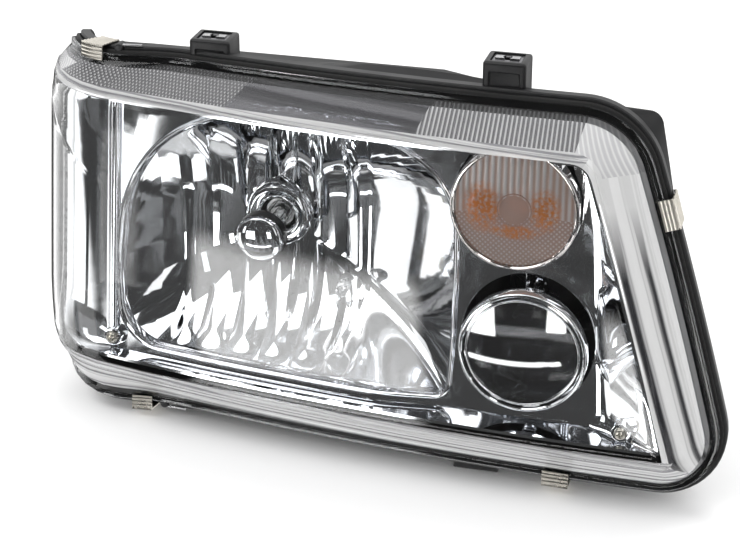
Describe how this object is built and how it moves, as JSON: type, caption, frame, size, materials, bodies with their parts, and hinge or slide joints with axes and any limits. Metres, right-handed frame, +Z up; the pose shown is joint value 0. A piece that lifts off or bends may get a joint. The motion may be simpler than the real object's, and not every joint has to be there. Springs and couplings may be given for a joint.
{
  "type": "car headlight assembly",
  "caption": "Wrap-round car headlamp: fluted glass lens on a black housing, mirror bezel, main reflector with bulb and glare cap, round indicator and fog units, levelling and rear covers.",
  "frame": {"origin": "bottom centre of the lamp's bounding box, on the plane of its four feet", "axes": "+Z up, -Y out through the lens (the car's forward), +X inboard, so -X is the end that wraps round the wing"},
  "size_m": [0.5002, 0.2246, 0.2836],
  "materials": {
    "housing_black": "black moulded plastic, lightly grained",
    "lens_clear": "clear pressed glass with moulded flutes",
    "seal_black": "black rubber",
    "chrome": "vacuum-metallised mirror finish",
    "zinc": "zinc-plated spring steel, slightly warm",
    "steel": "plain bright steel",
    "carrier_grey": "dark grey glass-filled plastic",
    "knob_white": "off-white moulded plastic",
    "amber": "amber-dipped bulb glass",
    "bulb_glass": "clear glass",
    "lead_black": "black plastic insulation and moulded connector"
  },
  "bodies": {
    "housing": {"housing": "housing_black", "lens": "lens_clear", "lens_seal": "seal_black", "lens_clip_top_left": "zinc", "lens_clip_right": "zinc", "lens_clip_bottom_left": "zinc", "lens_clip_bottom_right": "zinc", "spring_nut_left": "steel", "spring_nut_right": "steel", "bezel": "chrome", "bezel_screw_left": "zinc", "bezel_screw_right": "zinc", "yaw_pin_top": "steel", "yaw_pin_bottom": "steel", "levelling_actuator": "lead_black", "indicator_reflector": "chrome", "indicator_lens": "bulb_glass", "indicator_holder_seal": "seal_black", "fog_pivot_pin": "steel", "connector_socket": "lead_black", "headlamp_lead": "lead_black", "fog_lead": "lead_black", "vent_cap": "seal_black"},
    "aim_frame": {"aim_frame": "carrier_grey", "pitch_pin_left": "steel", "pitch_pin_right": "steel"},
    "main_reflector": {"main_reflector": "chrome", "bulb_seat": "chrome", "glare_cap": "chrome", "main_bulb_base": "steel", "main_bulb_glass": "bulb_glass", "main_bulb_filament": "steel", "bulb_plug": "lead_black", "parking_bulb": "bulb_glass", "parking_bulb_holder": "carrier_grey"},
    "bulb_clip": {"bulb_wire_clip": "steel"},
    "actuator_plunger": {"actuator_plunger": "knob_white"},
    "vertical_adjuster": {"vertical_adjuster": "knob_white"},
    "horizontal_adjuster": {"horizontal_adjuster": "knob_white"},
    "fog_lamp": {"fog_reflector": "chrome", "fog_lens": "bulb_glass", "fog_bulb": "bulb_glass", "fog_bulb_base": "steel", "fog_shield": "chrome"},
    "fog_adjuster": {"fog_adjuster": "knob_white"},
    "main_cover": {"main_cover": "housing_black", "main_cover_seal": "seal_black"},
    "fog_cover": {"fog_cover": "housing_black", "fog_cover_seal": "seal_black"},
    "indicator_holder": {"indicator_holder": "carrier_grey", "indicator_bulb": "amber"}
  },
  "joints": [
    {"name": "aim_yaw", "type": "hinge", "parent": "housing", "child": "aim_frame", "pos_m": [-0.07943, 0.02897, 0.143], "axis": [0, 0, 1], "range_deg": [-2, 2]},
    {"name": "reflector_pitch", "type": "hinge", "parent": "aim_frame", "child": "main_reflector", "pos_m": [-0.07943, 0.02097, 0.143], "axis": [1, 0, 0], "range_deg": [-2, 2]},
    {"name": "bulb_clip_swing", "type": "hinge", "parent": "main_reflector", "child": "bulb_clip", "pos_m": [-0.07943, 0.02417, 0.167], "axis": [1, 0, 0], "range_deg": [0, 80]},
    {"name": "actuator_slide", "type": "slide", "parent": "housing", "child": "actuator_plunger", "axis": [0, 1, 0], "range_m": [-0.003, 0.003]},
    {"name": "vertical_aim_turn", "type": "hinge", "parent": "housing", "child": "vertical_adjuster", "pos_m": [-0.03343, 0.07297, 0.06], "axis": [0, 1, 0], "range_deg": [-700, 700]},
    {"name": "horizontal_aim_turn", "type": "hinge", "parent": "housing", "child": "horizontal_adjuster", "pos_m": [-0.15543, 0.07297, 0.18], "axis": [0, 1, 0], "range_deg": [-640, 640]},
    {"name": "fog_pitch", "type": "hinge", "parent": "housing", "child": "fog_lamp", "pos_m": [0.11557, -0.04203, 0.153], "axis": [1, 0, 0], "range_deg": [-2, 2]},
    {"name": "fog_aim_turn", "type": "hinge", "parent": "housing", "child": "fog_adjuster", "pos_m": [0.11557, 0.01297, 0.052], "axis": [0, 1, 0], "range_deg": [-850, 850]},
    {"name": "main_cover_twist", "type": "hinge", "parent": "housing", "child": "main_cover", "pos_m": [-0.07943, 0.07297, 0.143], "axis": [0, 1, 0], "range_deg": [0, 30]},
    {"name": "fog_cover_twist", "type": "hinge", "parent": "housing", "child": "fog_cover", "pos_m": [0.11557, 0.01297, 0.106], "axis": [0, 1, 0], "range_deg": [0, 30]},
    {"name": "indicator_holder_twist", "type": "hinge", "parent": "housing", "child": "indicator_holder", "pos_m": [0.10307, 0.01297, 0.1965], "axis": [0, 1, 0], "range_deg": [0, 45]}
  ],
  "couplings": [
    {"joint": "actuator_slide", "follows": "reflector_pitch", "m_per_rad": 0.083},
    {"joint": "vertical_aim_turn", "follows": "reflector_pitch", "ratio": 347},
    {"joint": "horizontal_aim_turn", "follows": "aim_yaw", "ratio": 318},
    {"joint": "fog_aim_turn", "follows": "fog_pitch", "ratio": 423}
  ]
}
